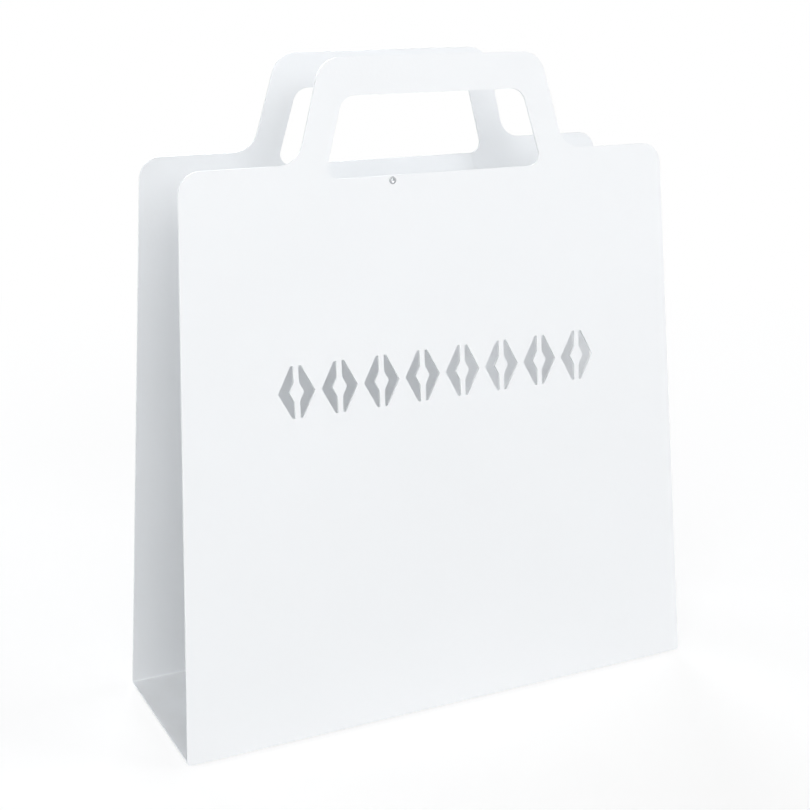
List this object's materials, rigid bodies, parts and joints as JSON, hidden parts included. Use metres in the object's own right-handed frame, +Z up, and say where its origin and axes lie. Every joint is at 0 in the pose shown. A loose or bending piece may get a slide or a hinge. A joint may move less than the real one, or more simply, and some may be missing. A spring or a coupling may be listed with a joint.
{
  "type": "magazine rack",
  "caption": "Free-standing magazine rack of folded white sheet steel, shaped like a carrier bag, with two handles and a pierced front.",
  "frame": {"origin": "on the ground under the middle of the rack", "axes": "+Z up; X across the rack, along its width; the pierced front panel faces -Y"},
  "size_m": [0.32, 0.1098, 0.3692],
  "materials": {
    "powder_coat": "fine white powder coat, satin",
    "eyelet_metal": "plain nickel, satin",
    "pad_rubber": "translucent grey, matte"
  },
  "bodies": {
    "root": {"front_panel": "powder_coat", "back_and_floor": "powder_coat", "tag_eyelet": "eyelet_metal", "pad_front_left": "pad_rubber", "pad_front_right": "pad_rubber", "pad_back_left": "pad_rubber", "pad_back_right": "pad_rubber"}
  },
  "joints": []
}
